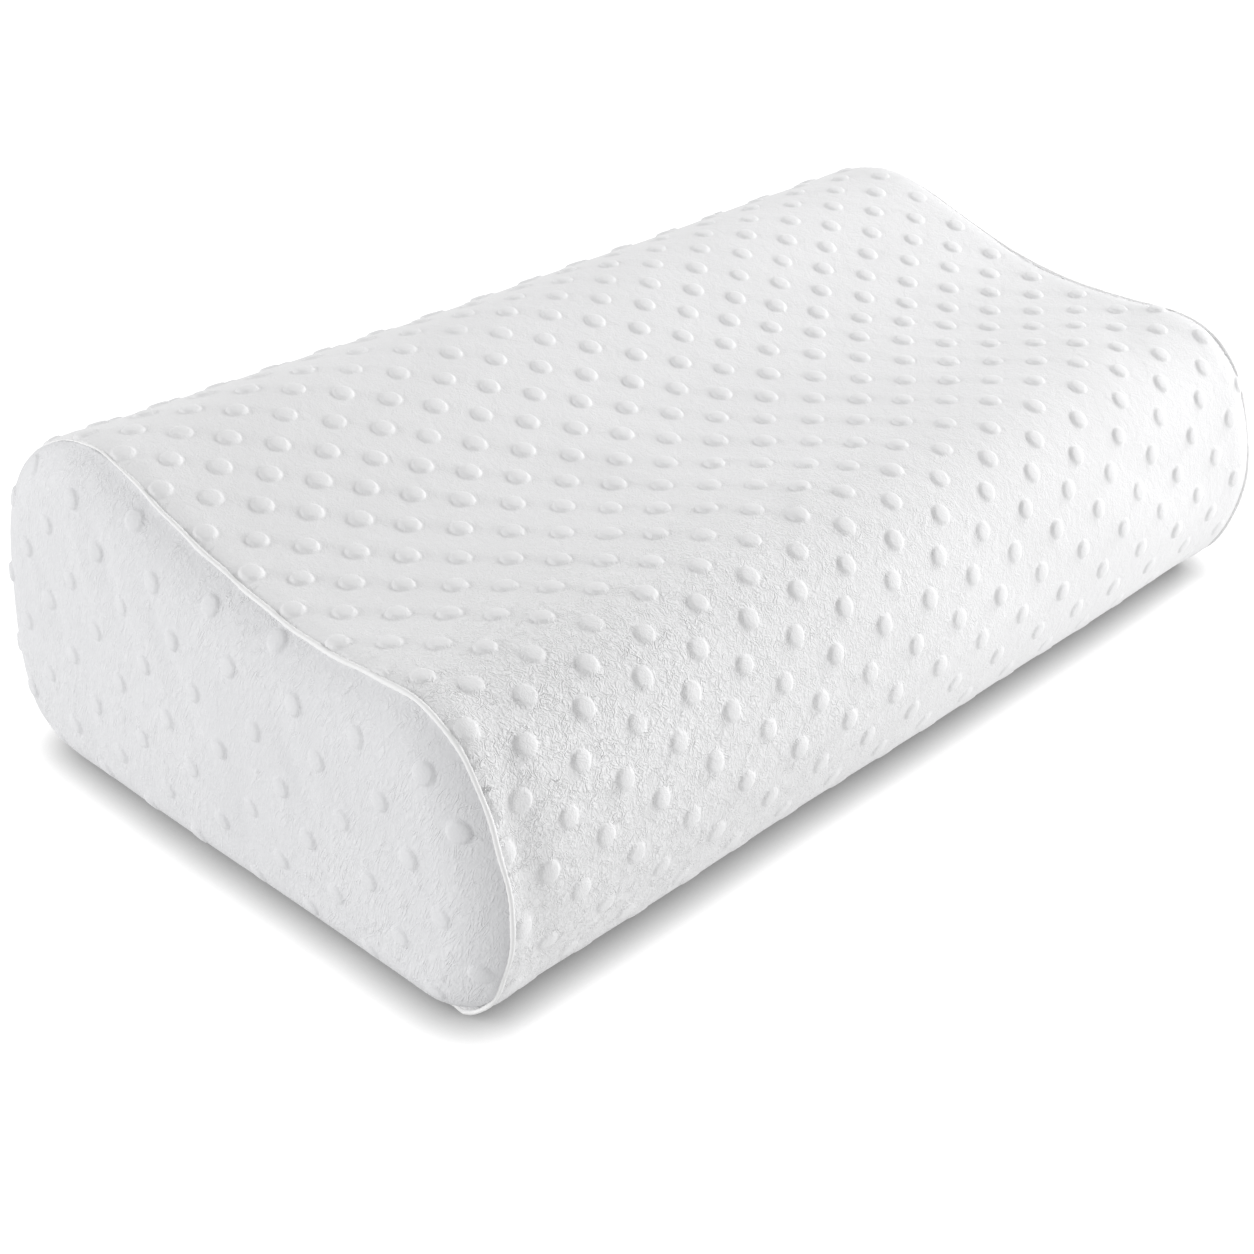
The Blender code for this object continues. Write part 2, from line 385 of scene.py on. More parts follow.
def simulate_swell():
    """Inflates the coarse cover and returns its points, with how far each of them moved out."""
    around = np.arange(COARSE_AROUND) * WAVE.length / COARSE_AROUND
    rings = coarse_rings(around)
    points = np.concatenate([p for p, _, _ in rings])
    normals = np.concatenate([n for _, n, _ in rings])
    held = np.concatenate([np.full(COARSE_AROUND, h) for _, _, h in rings])
    pressed = np.tile(pressed_share(around), len(rings))
    held = np.maximum(held, pressed * (points[:, 2] < 0.004))
    seam_distance = np.abs(np.abs(points[:, 0]) - SEAM_REACH)
    free = np.minimum(smooth_step(0.0, FREE_FROM_SEAM, seam_distance), 1.0 - pressed)
    start = points - normals * (START_INSET * free)[:, None]
    tips = np.array([[side * (HALF_LENGTH - START_INSET), *SECTION_CENTRE] for side in (-1, 1)])
    count = len(points)
    faces = []
    for row in range(len(rings) - 1):
        for k in range(COARSE_AROUND):
            low, next_low = row * COARSE_AROUND + k, row * COARSE_AROUND + (k + 1) % COARSE_AROUND
            faces.append((low, low + COARSE_AROUND, next_low + COARSE_AROUND, next_low))
    for k in range(COARSE_AROUND):
        after = (k + 1) % COARSE_AROUND
        last = count - COARSE_AROUND
        faces.append((k, after, count))
        faces.append((last + after, last + k, count + 1))
    mesh = bpy.data.meshes.new("coarse_cover")
    mesh.from_pydata(np.concatenate([start, tips]).tolist(), [], faces)
    item = bpy.data.objects.new("coarse_cover", mesh)
    bpy.context.scene.collection.objects.link(item)
    group = item.vertex_groups.new(name="held")
    for index in np.nonzero(held > 0.5)[0]:
        group.add([int(index)], 1.0, "REPLACE")
    cloth = item.modifiers.new("inflate", "CLOTH")
    cloth.settings.quality = QUALITY
    cloth.settings.use_pressure = True
    cloth.settings.uniform_pressure_force = PRESSURE
    cloth.settings.vertex_group_mass = "held"
    cloth.settings.tension_stiffness = STIFFNESS
    cloth.settings.compression_stiffness = STIFFNESS
    cloth.settings.bending_stiffness = BENDING
    cloth.settings.effector_weights.gravity = 0.0
    cloth.collision_settings.use_collision = False
    cloth.point_cache.frame_start = 1
    cloth.point_cache.frame_end = LAST_FRAME
    scene = bpy.context.scene
    scene.frame_start = 1
    scene.frame_end = LAST_FRAME
    for step in range(1, LAST_FRAME + 1):
        scene.frame_set(step)
    shown = item.evaluated_get(bpy.context.evaluated_depsgraph_get())
    moved = np.array([v.co for v in shown.data.vertices])[:count] - start
    bpy.data.objects.remove(item, do_unlink=True)
    bpy.data.meshes.remove(mesh)
    scene.frame_set(1)
    out = np.einsum("ij,ij->i", moved, normals)
    out = SWELL_SHARE * (SWELL_LIMIT * np.tanh(out / SWELL_LIMIT) - START_INSET * free)
    return points, out


SWELL_POINTS, SWELL_OUT = simulate_swell()


def smooth_grid(grid):
    """Softens a grid of swell that runs along the strip and wraps round it."""
    for _ in range(3):
        grid = (np.roll(grid, 1, axis=1) + 2.0 * grid + np.roll(grid, -1, axis=1)) / 4.0
        grid[1:-1] = (grid[:-2] + 2.0 * grid[1:-1] + grid[2:]) / 4.0
    return grid


def strip_swell(along, around):
    """The simulated swell at places on the strip, read between the coarse cover's points."""
    if SWELL_OUT is None:
        return np.zeros_like(along)
    first = (COARSE_SCALES - 1 + COARSE_TURNS - 1) * COARSE_AROUND
    grid = SWELL_OUT[first : first + (COARSE_COLUMNS + 1) * COARSE_AROUND].reshape(-1, COARSE_AROUND)
    grid = smooth_grid(grid.copy())
    column = np.clip((along + SEAM_RUN) / (2.0 * SEAM_RUN), 0.0, 1.0) * COARSE_COLUMNS
    row = np.mod(around / WAVE.length, 1.0) * COARSE_AROUND
    low_column = np.minimum(column.astype(int), COARSE_COLUMNS - 1)
    low_row = row.astype(int) % COARSE_AROUND
    next_row = (low_row + 1) % COARSE_AROUND
    c, r = column - low_column, row - np.floor(row)
    before = grid[low_column, low_row] * (1 - r) + grid[low_column, next_row] * r
    after = grid[low_column + 1, low_row] * (1 - r) + grid[low_column + 1, next_row] * r
    return before * (1 - c) + after * c


def panel_swell(section, side):
    """The simulated swell at places on an end panel, as a soft mean of the coarse points round each."""
    if SWELL_OUT is None:
        return np.zeros(len(section))
    near = SWELL_POINTS[:, 0] * side > SEAM_REACH - 1e-4
    places, values = SWELL_POINTS[near, 1:], SWELL_OUT[near]
    found = []
    for block in np.array_split(section, max(1, len(section) // 1500)):
        square = ((block[:, None, :] - places[None]) ** 2).sum(axis=2)
        weight = np.exp(-square / (2.0 * SWELL_BLUR**2)) + 1e-12
        found.append((weight * values).sum(axis=1) / weight.sum(axis=1))
    return np.concatenate(found)


# The strip: bricks of mesh, one dot in each, laid in rows that step by half a pitch

CORNER_LIFT = 0.0021
CORNER_REACH = 0.0075
GROOVE_DEPTH = 0.00015
GROOVE_WIDTH = 0.0022
EDGE_FADE = 0.0022
STRIP_HEM = ((-0.001, 0.975), (-0.006, 0.96))
PANEL_HEM = ((-0.0010, 0.985), (0.0, 0.90))
MERGE_DISTANCE = 2e-5


def strip_bricks():
    """The strip's bricks: vertices as along, around and the dot's lift, and the faces."""
    border = []
    border += [(k, 0) for k in range(LONG_STEPS)]
    border += [(LONG_STEPS, k) for k in range(SHORT_STEPS)]
    border += [(LONG_STEPS - k, SHORT_STEPS) for k in range(LONG_STEPS)]
    border += [(0, SHORT_STEPS - k) for k in range(SHORT_STEPS)]
    steps = len(border)
    step_x, step_y = DOT_PITCH / LONG_STEPS, ROW_HEIGHT / SHORT_STEPS
    middle_x, middle_y = LONG_STEPS / 2.0, SHORT_STEPS / 2.0
    arms = np.array([((b[0] - middle_x) * step_x, (b[1] - middle_y) * step_y) for b in border])
    directions = np.arctan2(arms[:, 1], arms[:, 0])
    even = np.arange(steps) * math.tau / steps + directions[0]
    directions = even + 0.25 * (np.unwrap(directions) - even)
    circle = np.stack([np.cos(directions), np.sin(directions)], axis=1)
    places, faces, shared = [], [], {}

    def border_vertex(column, row):
        if (column, row) not in shared:
            shared[column, row] = len(places)
            x = DOT_START + (column / LONG_STEPS - 0.5) * DOT_PITCH
            places.append((*lay_one(x, ROW_START + (row / SHORT_STEPS - 0.5) * ROW_HEIGHT), 0.0))
        return shared[column, row]

    reach = SEAM_RUN + 1.2 * DOT_PITCH
    for j in range(ROW_COUNT):
        first = math.ceil((-reach - DOT_START) / DOT_PITCH - 0.5 * j)
        last = math.floor((reach - DOT_START) / DOT_PITCH - 0.5 * j)
        y = ROW_START + j * ROW_HEIGHT
        pressed = float(pressed_share(np.array([lay_one(0.0, y)[1]]))[0])
        shares = PLAIN_RING_SHARES if pressed > 0.95 else RING_SHARES
        for i in range(first, last + 1):
            x = DOT_START + (i + 0.5 * j) * DOT_PITCH
            size, height = dot_character(i, j)
            middle = lay_one(x, y)
            rings = []
            for share in shares:
                start = len(places)
                ring = np.array(middle) + circle * share * size * DOT_RADIUS
                lift = height * float(dot_profile(np.array(share)))
                places.extend((*spot, lift) for spot in ring)
                rings.append(range(start, start + steps))
            corner = (LONG_STEPS * i + LONG_STEPS // 2 * j, SHORT_STEPS * j)
            outline = [border_vertex(corner[0] + b[0], corner[1] + b[1]) for b in border]
            if len(rings) > 1:
                start = len(places)
                spots = [0.5 * (np.array(places[a]) + places[b]) for a, b in zip(rings[-1], outline)]
                places.extend((float(spot[0]), float(spot[1]), 0.0) for spot in spots)
                rings.append(range(start, start + steps))
            rings.append(outline)
            centre = len(places)
            places.append((*middle, height * float(dot_profile(np.array(0.0)))))
            inner = rings[0]
            faces.extend((centre, inner[k], inner[(k + 1) % steps]) for k in range(steps))
            for ring, outer in zip(rings[:-1], rings[1:]):
                for k in range(steps):
                    after = (k + 1) % steps
                    faces.append((ring[k], outer[k], outer[after], ring[after]))
    return places, faces


def seam_rise(distance):
    """How far the seam allowance lifts the cloth at a distance from the seam, less a small groove at it."""
    return CORNER_LIFT * np.exp(-distance / CORNER_REACH) - GROOVE_DEPTH * bell(distance, GROOVE_WIDTH)


def strip_lift(along, around, dot):
    """Everything that lifts the strip off its plain shell, in metres."""
    pressed = pressed_share(around)
    ground = strip_swell(along, around) + crease_lift(along, around) + soft_lift(along, around)
    ground += seam_rise(SEAM_RUN - np.abs(along))
    edge = smooth_step(0.0, EDGE_FADE, SEAM_RUN - np.abs(along))
    height = DOT_HEIGHT * edge * (1.0 - pressed) * dot_fullness(around) + PRESSED_LIFT * pressed
    settled = -PRESSED_LIFT * pressed
    return (1.0 - pressed) * ground + settled + dot * height


def shut_end(bm, loop, side, steps):
    """Closes an open end behind its seam. Each step is a shift along the length and a section scale."""
    edges = loop
    for shift, scale in steps:
        made = bmesh.ops.extrude_edge_only(bm, edges=edges)["geom"]
        edges = [g for g in made if isinstance(g, bmesh.types.BMEdge)]
        for vertex in {v for e in edges for v in e.verts}:
            vertex.co.x += side * shift
            vertex.co.y = SECTION_CENTRE[0] + (vertex.co.y - SECTION_CENTRE[0]) * scale
            vertex.co.z = SECTION_CENTRE[1] + (vertex.co.z - SECTION_CENTRE[1]) * scale
    rim = [v.co for e in edges for v in e.verts]
    reach = sum(co.x for co in rim) / len(rim)
    tip = bm.verts.new((reach, *SECTION_CENTRE))
    for edge in edges:
        bm.faces.new((*edge.verts, tip))


def new_piece(name, mesh, material):
    item = bpy.data.objects.new(name, mesh)
    bpy.context.scene.collection.objects.link(item)
    mesh.materials.clear()
    mesh.materials.append(material)
    mesh.shade_smooth()
    return item


def make_strip(material):
    places, faces = strip_bricks()
    mesh = bpy.data.meshes.new("velour_strip")
    mesh.from_pydata(places, [], faces)
    bm = bmesh.new()
    bm.from_mesh(mesh)
    raised = bm.verts.layers.float.new("raised")
    for side in (-1.0, 1.0):
        geometry = list(bm.verts) + list(bm.edges) + list(bm.faces)
        cut = {"plane_co": (side * SEAM_RUN, 0, 0), "plane_no": (side, 0, 0), "clear_outer": True}
        bmesh.ops.bisect_plane(bm, geom=geometry, dist=MERGE_DISTANCE, **cut)
    cloth = np.array([v.co for v in bm.verts])
    lift = strip_lift(cloth[:, 0], cloth[:, 1], cloth[:, 2])
    shaped = strip_points(cloth[:, 0], cloth[:, 1], lift)
    shaped[:, 2] = np.maximum(shaped[:, 2], 0.0)
    for v, spot in zip(bm.verts, shaped):
        v[raised] = v.co.z
        v.co = spot
    bmesh.ops.remove_doubles(bm, verts=bm.verts, dist=MERGE_DISTANCE)
    for side in (-1.0, 1.0):
        loop = [e for e in bm.edges if e.is_boundary and e.verts[0].co.x * side > 0]
        shut_end(bm, loop, side, STRIP_HEM)
    bmesh.ops.recalc_face_normals(bm, faces=bm.faces)
    bm.to_mesh(mesh)
    bm.free()
    return new_piece("velour_strip", mesh, material)


# The end panels: dots and a fine even net, joined in the flat and turned over the rounded end

PANEL_ROW_STEP = np.array((0.0129, 0.0176))
PANEL_DOT_STEP = np.array((0.0331, -0.0003))
PANEL_DOT_START = np.array((-0.0043, 0.0325))
PANEL_NET = 0.0026
PANEL_RIM_POINTS = 620
PANEL_DOT_POINTS = 20
PANEL_DOT_STRAY = 0.0011
PANEL_RIM_RINGS = ((0.0009, 620), (0.0021, 520), (0.0037, 440))
PANEL_FOOT_FADE = (0.003, 0.020)
NET_FROM_RIM = 0.0050
NET_FROM_DOT = 1.5 * DOT_RADIUS
RING_FROM_DOT = 1.32 * DOT_RADIUS
DOT_FROM_RIM = 1.3 * DOT_RADIUS
NET_ROW = 0.866
TURN_LEFT = math.pi / 2.0 - SEAM_TURN


def panel_outline(depth, count):
    """The panel's flat outline, drawn in by a depth, with the outward normals."""
    around = np.arange(count) * WAVE.length / count
    spot, normal = WAVE.at(around)
    return spot - normal * (END_ROUND_INSET - ROUND_RADIUS * TURN_LEFT + depth), normal


def inside_outline(places, outline):
    """Which places lie inside a closed outline."""
    start, end = outline, np.roll(outline, -1, axis=0)
    crossings = np.zeros(len(places), int)
    for (y0, z0), (y1, z1) in zip(start, end):
        spans = (z0 > places[:, 1]) != (z1 > places[:, 1])
        if spans.any():
            cut = y0 + (places[:, 1] - z0) / (z1 - z0 + 1e-15) * (y1 - y0)
            crossings += spans & (places[:, 0] < cut)
    return crossings % 2 == 1


def nearest_distance(places, targets):
    found, index = [], []
    for block in np.array_split(places, max(1, len(places) // 800)):
        square = ((block[:, None, :] - targets[None]) ** 2).sum(axis=2)
        best = square.argmin(axis=1)
        index.append(best)
        found.append(np.sqrt(square[np.arange(len(block)), best]))
    return np.concatenate(found), np.concatenate(index)


def panel_dots(outline):
    """Centres of the panel's dots, and how big and high each one is."""
    centres, sizes, heights = [], [], []
    for j in range(-4, 10):
        for i in range(-9, 10):
            spot = PANEL_DOT_START + i * PANEL_DOT_STEP + j * PANEL_ROW_STEP
            stray = np.array((math.sin(2.1 * i + 1.3 * j), math.sin(1.7 * j - 2.9 * i + 0.7)))
            spot = spot + PANEL_DOT_STRAY * stray
            size, height = dot_character(i + 40, j + 90)
            centres.append(spot)
            sizes.append(size)
            heights.append(height)
    centres, sizes, heights = np.array(centres), np.array(sizes), np.array(heights)
    inside = inside_outline(centres, outline)
    distance, _ = nearest_distance(centres, outline)
    keep = inside & (distance > DOT_FROM_RIM)
    return centres[keep], sizes[keep], heights[keep]


def panel_net():
    """The flat panel: places, each place's dot lift, and the triangles."""
    outline, _ = panel_outline(0.0, PANEL_RIM_POINTS)
    centres, sizes, heights = panel_dots(outline)
    angles = np.arange(PANEL_DOT_POINTS) * math.tau / PANEL_DOT_POINTS
    circle = np.stack([np.cos(angles), np.sin(angles)], axis=1)
    places, lifts = [outline], [np.zeros(len(outline))]
    for depth, count in PANEL_RIM_RINGS:
        ring, _ = panel_outline(depth, count)
        away, _ = nearest_distance(ring, centres)
        ring = ring[away > RING_FROM_DOT]
        places.append(ring)
        lifts.append(np.zeros(len(ring)))
    for spot, size, height in zip(centres, sizes, heights):
        places.append(spot[None])
        lifts.append(np.array([height * float(dot_profile(np.array(0.0)))]))
        for share in RING_SHARES:
            places.append(spot + circle * share * size * DOT_RADIUS)
            lifts.append(np.full(PANEL_DOT_POINTS, height * float(dot_profile(np.array(share)))))
    fixed = np.concatenate(places)
    rows = np.arange(-20, 90)
    columns = np.arange(-90, 90)
    net = [((c + 0.5 * (r % 2)) * PANEL_NET, r * PANEL_NET * NET_ROW) for r in rows for c in columns]
    net = np.array(net)
    net = net[inside_outline(net, outline)]
    rim_distance, _ = nearest_distance(net, outline)
    dot_distance, _ = nearest_distance(net, centres)
    net = net[(rim_distance > NET_FROM_RIM) & (dot_distance > NET_FROM_DOT)]
    places = np.concatenate([fixed, net])
    lifts = np.concatenate([*lifts, np.zeros(len(net))])
    rim = [(k, (k + 1) % PANEL_RIM_POINTS) for k in range(PANEL_RIM_POINTS)]
    spots = [Vector((1000.0 * y, 1000.0 * z)) for y, z in places]
    made = delaunay_2d_cdt(spots, rim, [], 1, 1e-4, True)
    flat = np.array(made[0]) / 1000.0
    source = [ids[0] if ids else -1 for ids in made[3]]
    lift = np.array([lifts[k] if k >= 0 else 0.0 for k in source])
    triangles = np.array([tuple(face) for face in made[2]])
    inside = inside_outline(flat[triangles].mean(axis=1), outline * 1.00001)
    return flat, lift, triangles[inside].tolist()


FACE_TURN_BAND = ROUND_RADIUS * TURN_LEFT


def panel_points(flat, lift, side):
    """Takes the flat panel to its place: its band over the rounded end, its middle on the crowned face."""
    outline, normal = panel_outline(0.0, 3000)
    depth, index = nearest_distance(flat, outline)
    outward = normal[index]
    turn = np.clip(SEAM_TURN + depth / ROUND_RADIUS, 0.0, math.pi / 2.0)
    over = np.clip(FACE_TURN_BAND - depth, 0.0, None) - END_ROUND_INSET * np.cos(turn)
    over = np.where(depth < FACE_TURN_BAND, over, 0.0)
    section = flat - outward * over[:, None]
    _, rim, _ = shell_ring(math.pi / 2.0, np.linspace(0.0, WAVE.length, 1200, endpoint=False))
    arm = rim - SECTION_CENTRE
    angle = np.arctan2(arm[:, 1], arm[:, 0])
    order = np.argsort(angle)
    here = section - SECTION_CENTRE
    size = np.linalg.norm(arm, axis=1)[order]
    full = np.interp(np.arctan2(here[:, 1], here[:, 0]), angle[order], size, period=math.tau)
    scale = np.linalg.norm(here, axis=1) / full
    crown = END_CROWN * np.clip(1.0 - scale**2, 0.0, 1.0) * smooth_step(0.8, 1.0, depth / FACE_TURN_BAND)
    reach = FLAT_HALF - END_ROUND_LENGTH * (1.0 - np.sin(turn)) + crown
    lift = lift + panel_swell(section, side)
    section = section + outward * (lift * np.cos(turn))[:, None]
    reach = reach + lift * np.sin(turn)
    return np.column_stack([side * reach, section])


# name, across, up, heading in degrees from level, half length, half width, height (below 0: a trough)
PANEL_CREASES = (
    ("brushed_fold_high", 0.052, 0.112, 62.0, 0.026, 0.0050, -0.0011),
    ("brushed_ridge_high", 0.068, 0.108, 66.0, 0.024, 0.0045, 0.0008),
    ("brushed_fold_mid", 0.014, 0.090, 58.0, 0.028, 0.0050, -0.0009),
    ("brushed_fold_front", -0.052, 0.082, 60.0, 0.026, 0.0050, -0.0008),
    ("brushed_fold_back", 0.098, 0.082, 72.0, 0.024, 0.0055, -0.0010),
    ("low_soft_fold", -0.020, 0.040, 100.0, 0.030, 0.0070, -0.0007),
    ("low_back_fold", 0.082, 0.036, 84.0, 0.028, 0.0065, -0.0008),
)


PANEL_WAVE_HEIGHT = 0.0005


def panel_ground(flat):
    """The panel's creases and slow unevenness."""
    total = np.zeros(len(flat))
    for _, y, z, heading, half_length, half_width, height in PANEL_CREASES:
        turn = math.radians(heading)
        run_y, run_z = flat[:, 0] - y, flat[:, 1] - z
        lengthwise = run_y * math.cos(turn) + run_z * math.sin(turn)
        across = run_z * math.cos(turn) - run_y * math.sin(turn)
        total += height * bell(lengthwise, half_length) * bell(across, half_width)
    waves = np.sin(38.0 * flat[:, 0] + 21.0 * flat[:, 1])
    waves += 0.7 * np.sin(71.0 * flat[:, 1] - 33.0 * flat[:, 0] + 1.4)
    return total + PANEL_WAVE_HEIGHT * waves


def make_panel(name, side, net, material):
    flat, dot, triangles = net
    outline, _ = panel_outline(0.0, 1500)
    depth, _ = nearest_distance(flat, outline)
    edge = smooth_step(0.0, EDGE_FADE, depth)
    above = smooth_step(*PANEL_FOOT_FADE, flat[:, 1])
    lift = dot * DOT_HEIGHT * edge * above + panel_ground(flat) * edge * above + seam_rise(depth) * above
    spots = panel_points(flat, lift, side)
    spots[:, 2] = np.maximum(spots[:, 2], 0.0)
    mesh = bpy.data.meshes.new(name)
    mesh.from_pydata(spots.tolist(), [], triangles)
    bm = bmesh.new()
    bm.from_mesh(mesh)
    raised = bm.verts.layers.float.new("raised")
    for v, share in zip(bm.verts, dot):
        v[raised] = share
    loop = [e for e in bm.edges if e.is_boundary]
    shut_end(bm, loop, side, PANEL_HEM)
    bmesh.ops.recalc_face_normals(bm, faces=bm.faces)
    bm.to_mesh(mesh)
    bm.free()
    return new_piece(name, mesh, material)


# The rolled seam: a thin tube of turned cloth, uneven and puckered by its stitches

RIDGE_STEPS = 760
RIDGE_SIDES = 10
RIDGE_RADIUS = 0.00100
STITCH_PITCH = 0.0036
RIDGE_SUNK = 0.0003


def ridge_radius(around):
    """The ridge is thin over the head roll and fuller over the neck roll, and dimples at each stitch."""
    circle = math.tau * around / WAVE.length
    fullness = 0.92 - 0.62 * bell(around - 0.378, 0.055) + 0.12 * bell(around - 0.185, 0.07)
    stitches = round(WAVE.length / STITCH_PITCH)
    pucker = 0.05 * np.sin(stitches * circle) + 0.05 * np.sin(23 * circle + 1.0) + 0.04 * np.sin(57 * circle)
    return RIDGE_RADIUS * (fullness + pucker)


def make_ridge(name, side, material):
    around = np.arange(RIDGE_STEPS) * WAVE.length / RIDGE_STEPS
    circle = math.tau * around / WAVE.length
    wander = 0.00035 * np.sin(9 * circle + side) + 0.00015 * np.sin(31 * circle + 2.0)
    turn = SEAM_TURN + wander / ROUND_RADIUS
    reach, section, normal = shell_ring(turn, around)
    radius = ridge_radius(around)
    outward = np.column_stack([side * np.sin(turn), normal * np.cos(turn)[:, None]])
    sideways = np.column_stack([side * np.cos(turn), -normal * np.sin(turn)[:, None]])
    lift = CORNER_LIFT * (1.0 - pressed_share(around)) - RIDGE_SUNK
    middle = np.column_stack([side * reach, section]) + outward * lift[:, None]
    rings = []
    for k in range(RIDGE_SIDES):
        angle = math.tau * k / RIDGE_SIDES
        rings.append(middle + (outward * math.cos(angle) + sideways * math.sin(angle)) * radius[:, None])
    spots = np.stack(rings, axis=1)
    spots[:, :, 2] = np.maximum(spots[:, :, 2], 0.0)
    faces = []
    for row in range(RIDGE_STEPS):
        here, after = row * RIDGE_SIDES, (row + 1) % RIDGE_STEPS * RIDGE_SIDES
        for k in range(RIDGE_SIDES):
            beside = (k + 1) % RIDGE_SIDES
            faces.append((here + k, here + beside, after + beside, after + k))
    mesh = bpy.data.meshes.new(name)
    mesh.from_pydata(spots.reshape(-1, 3).tolist(), [], faces)
    bm = bmesh.new()
    bm.from_mesh(mesh)
    bmesh.ops.recalc_face_normals(bm, faces=bm.faces)
    bm.to_mesh(mesh)
    bm.free()
    return new_piece(name, mesh, material)


# Materials

def math_node(tree, operation, first, second=None, clamp=False):
    node = tree.nodes.new("ShaderNodeMath")
    node.operation = operation
    node.use_clamp = clamp
    for socket, value in zip(node.inputs, (first, second)):
        if value is None:
            continue
        if isinstance(value, (int, float)):
            socket.default_value = value
        else:
            tree.links.new(value, socket)
    return node.outputs[0]


def noise(tree, vector, scale, detail=2.0, roughness=0.5, distortion=0.0):
    node = tree.nodes.new("ShaderNodeTexNoise")
    node.inputs["Scale"].default_value = scale
    node.inputs["Detail"].default_value = detail
    node.inputs["Roughness"].default_value = roughness
    node.inputs["Distortion"].default_value = distortion
    tree.links.new(vector, node.inputs["Vector"])
    return node.outputs["Fac"]


def turned_place(tree, rotation, stretch):
    """Object coordinates, turned and then stretched, for streaks that run one way."""
    place = tree.nodes.new("ShaderNodeTexCoord")
    mapping = tree.nodes.new("ShaderNodeMapping")
    mapping.vector_type = "TEXTURE"
    mapping.inputs["Rotation"].default_value = rotation
    mapping.inputs["Scale"].default_value = stretch
    tree.links.new(place.outputs["Object"], mapping.inputs["Vector"])
    return mapping.outputs["Vector"]


def bump(tree, height, strength, distance, normal=None):
    node = tree.nodes.new("ShaderNodeBump")
    node.inputs["Strength"].default_value = strength
    node.inputs["Distance"].default_value = distance
    tree.links.new(height, node.inputs["Height"])
    if normal is not None:
        tree.links.new(normal, node.inputs["Normal"])
    return node.outputs["Normal"]


def pile_waves(tree, vector, scale, bands):
    """Fine wandering ridges of pile, side by side, from 0 in a furrow to 1 on a ridge."""
    field = noise(tree, vector, scale, 1.5, 0.55, 0.5)
    wave = math_node(tree, "SINE", math_node(tree, "MULTIPLY", field, math.tau * bands))
    return math_node(tree, "ADD", math_node(tree, "MULTIPLY", wave, 0.5), 0.5)


def raised_share(tree):
    """1 on top of a raised dot and 0 on the ground of the cloth."""
    node = tree.nodes.new("ShaderNodeAttribute")
    node.attribute_name = "raised"
    return math_node(tree, "MULTIPLY", node.outputs["Fac"], 1.0, clamp=True)


def rise_along(tree, vector, axis, start, end):
    """Rises smoothly from 0 to 1 between two places along an axis."""
    split = tree.nodes.new("ShaderNodeSeparateXYZ")
    tree.links.new(vector, split.inputs["Vector"])
    rise = tree.nodes.new("ShaderNodeMapRange")
    rise.interpolation_type = "SMOOTHSTEP"
    rise.inputs["From Min"].default_value = start
    rise.inputs["From Max"].default_value = end
    tree.links.new(split.outputs[axis], rise.inputs["Value"])
    return rise.outputs["Result"]


# Where the photograph shows the pile most crinkled: towards the near end and down the front
# The crinkle's bump and the painted shading in its furrows are strongest there too
CRINKLE_FROM_X = 0.16
CRINKLE_FULL_X = -0.20
CRINKLE_FROM_Y = -0.03
CRINKLE_FULL_Y = -0.13
CRINKLE_SCALES = (250.0, 520.0)
CRINKLE_BANDS = (6.5, 4.0)

LEVEL, EVEN = (0.0, 0.0, 0.0), (1.0, 1.0, 1.0)

# Each velour: its pale and dark pile, its crinkle, its bump depth, and the lean of its brushed streaks. The
# crinkle also paints shade into the pile's furrows and light onto its ridges.
WRAP_LOOK = {
    "pale": (0.88, 0.88, 0.888, 1.0),
    "dark": (0.77, 0.77, 0.775, 1.0),
    "crinkle": 0.25,
    "near_extra": 1.5,
    "depth": 0.00026,
}
# The end panels' velour is the strip's, painted darker and a little bluer: painted shade on the ends
SHADED_END_LOOK = {
    "pale": (0.775, 0.777, 0.790, 1.0),
    "dark": (0.68, 0.683, 0.698, 1.0),
    "crinkle": 0.95,
    "near_extra": 0.2,
    "depth": 0.00025,
    "brushing": (math.radians(25.0), 0.0, 0.0),
    "stretch": (0.8, 0.8, 3.6),
}
# The rolled seam's velour is the strip's, painted paler: painted light on the ridge
LIT_SEAM_LOOK = {
    "pale": (0.90, 0.90, 0.90, 1.0),
    "dark": (0.86, 0.86, 0.86, 1.0),
    "crinkle": 0.25,
    "near_extra": 0.0,
    "depth": 0.00010,
}


